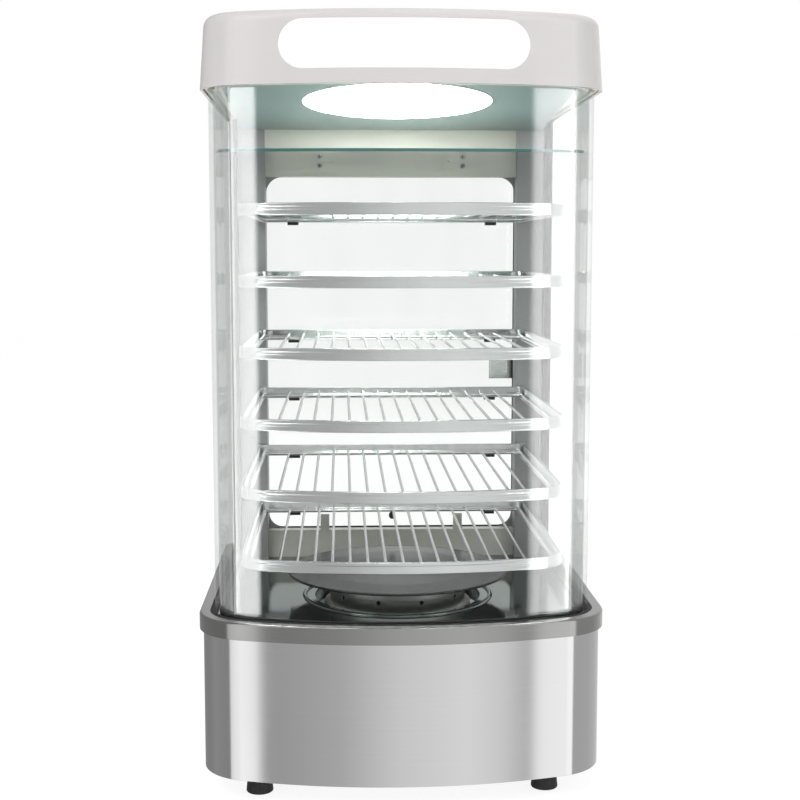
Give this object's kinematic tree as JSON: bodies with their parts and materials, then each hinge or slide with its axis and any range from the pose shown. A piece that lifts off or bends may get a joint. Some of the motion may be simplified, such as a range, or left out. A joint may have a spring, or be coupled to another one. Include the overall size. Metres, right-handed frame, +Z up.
{
  "type": "heated display case",
  "caption": "Counter-top steam display case with a bowed glass front, stacked wire racks, a water well with heater and collar, a hinged glass rear door and a lit cap.",
  "frame": {"origin": "on the table, under the middle of the whole case", "axes": "+Z up, +X to the right of someone who faces the glass front, +Y towards the rear door"},
  "size_m": [0.416, 0.4542, 0.781],
  "materials": {
    "base_steel": "brushed stainless sheet",
    "rim_steel": "satin stainless sheet",
    "deck_steel": "polished stainless sheet",
    "steam_steel": "dark polished stainless sheet, turned",
    "cap_plastic": "light grey gloss",
    "window_plastic": "opal, lit from behind",
    "lens_plastic": "opal, lit from behind",
    "case_glass": "clear float glass, polished edges",
    "drip_plate_glass": "clear glass with green edges",
    "black_rubber": "matt",
    "frame_paint": "dark grey satin",
    "inner_frame_steel": "satin stainless sheet",
    "ceiling_paint": "green grey gloss",
    "door_aluminium": "dark anodised, satin",
    "handle_steel": "black satin",
    "shelf_steel": "bright rolled stainless band",
    "rack_chrome": "bright plated wire",
    "fitting_steel": "plain zinc and stainless",
    "element_steel": "heat-dulled nickel alloy",
    "valve_chrome": "plated brass",
    "lever_paint": "red dipped",
    "control_plastic": "black moulded",
    "rocker_plastic": "black moulded",
    "thermostat_plastic": "pale moulded",
    "indicator_plastic": "red translucent",
    "board_laminate": "white coated laminate",
    "pan_aluminium": "plain drawn sheet"
  },
  "bodies": {
    "cabinet": {"base_floor_plate": "base_steel", "base_rim": "rim_steel", "base_shell": "base_steel", "cap_shell": "cap_plastic", "case_screws": "fitting_steel", "ceiling_panel": "ceiling_paint", "control_panel": "base_steel", "deck_tray": "deck_steel", "drain_pipe": "deck_steel", "drain_valve_body": "valve_chrome", "drip_glass": "drip_plate_glass", "drip_glass_clamps": "fitting_steel", "front_glass": "case_glass", "glass_edge_seals": "black_rubber", "heating_element": "element_steel", "high_limit_cutout": "element_steel", "hinge_leaves_frame": "fitting_steel", "hinge_pins": "fitting_steel", "indicator_lamps": "indicator_plastic", "inner_trim_ring": "deck_steel", "lamp_board": "board_laminate", "lamp_driver": "pan_aluminium", "lamp_lens": "lens_plastic", "lamp_pan": "pan_aluminium", "magnet_catch": "control_plastic", "power_inlet": "control_plastic", "rear_header": "inner_frame_steel", "rear_panel": "frame_paint", "rear_posts": "frame_paint", "rear_sill": "inner_frame_steel", "rim_gasket": "black_rubber", "rubber_feet": "black_rubber", "shelf_brackets": "shelf_steel", "shelf_frames": "shelf_steel", "shelf_pads": "black_rubber", "sign_light_board": "board_laminate", "sign_window": "window_plastic", "switch_housings": "control_plastic", "terminal_block": "thermostat_plastic", "thermostat_body": "thermostat_plastic", "top_frame": "inner_frame_steel", "water_probe": "element_steel"},
    "door": {"door_frame": "door_aluminium", "door_glass": "case_glass", "door_gasket": "black_rubber", "door_handle": "handle_steel", "hinge_leaves_door": "fitting_steel", "catch_plate": "fitting_steel"},
    "steam_hood": {"steam_collar": "steam_steel", "steam_disc": "steam_steel"},
    "thermostat_dial": {"thermostat_knob": "control_plastic"},
    "heater_rocker": {"heater_rocker": "rocker_plastic"},
    "lamp_rocker": {"lamp_rocker": "rocker_plastic"},
    "drain_lever": {"drain_valve_lever": "lever_paint"},
    "rack_1": {"wire_rack_1": "rack_chrome"},
    "rack_2": {"wire_rack_2": "rack_chrome"},
    "rack_3": {"wire_rack_3": "rack_chrome"},
    "rack_4": {"wire_rack_4": "rack_chrome"},
    "rack_5": {"wire_rack_5": "rack_chrome"},
    "rack_6": {"wire_rack_6": "rack_chrome"}
  },
  "joints": [
    {"name": "door_hinge", "type": "hinge", "parent": "cabinet", "child": "door", "pos_m": [-0.18, 0.20365, 0.432], "axis": [0, 0, 1], "range_deg": [0, 110]},
    {"name": "steam_hood_lift", "type": "slide", "parent": "cabinet", "child": "steam_hood", "axis": [0, 0, 1], "range_m": [0, 0.025]},
    {"name": "thermostat_turn", "type": "hinge", "parent": "cabinet", "child": "thermostat_dial", "pos_m": [0.156, 0.18685, 0.098], "axis": [0, -1, 0], "range_deg": [0, 270]},
    {"name": "heater_rocker_tilt", "type": "hinge", "parent": "cabinet", "child": "heater_rocker", "pos_m": [0.118, 0.18735, 0.098], "axis": [1, 0, 0], "range_deg": [0, 14]},
    {"name": "lamp_rocker_tilt", "type": "hinge", "parent": "cabinet", "child": "lamp_rocker", "pos_m": [0.096, 0.18735, 0.098], "axis": [1, 0, 0], "range_deg": [0, 14]},
    {"name": "drain_lever_turn", "type": "hinge", "parent": "cabinet", "child": "drain_lever", "pos_m": [-0.028, 0.19985, 0.084], "axis": [0, 0, -1], "range_deg": [0, 90]},
    {"name": "rack_1_lift", "type": "slide", "parent": "cabinet", "child": "rack_1", "axis": [0, 0, 1], "range_m": [0, 0.04]},
    {"name": "rack_2_lift", "type": "slide", "parent": "cabinet", "child": "rack_2", "axis": [0, 0, 1], "range_m": [0, 0.04]},
    {"name": "rack_3_lift", "type": "slide", "parent": "cabinet", "child": "rack_3", "axis": [0, 0, 1], "range_m": [0, 0.04]},
    {"name": "rack_4_lift", "type": "slide", "parent": "cabinet", "child": "rack_4", "axis": [0, 0, 1], "range_m": [0, 0.04]},
    {"name": "rack_5_lift", "type": "slide", "parent": "cabinet", "child": "rack_5", "axis": [0, 0, 1], "range_m": [0, 0.04]},
    {"name": "rack_6_lift", "type": "slide", "parent": "cabinet", "child": "rack_6", "axis": [0, 0, 1], "range_m": [0, 0.04]}
  ]
}
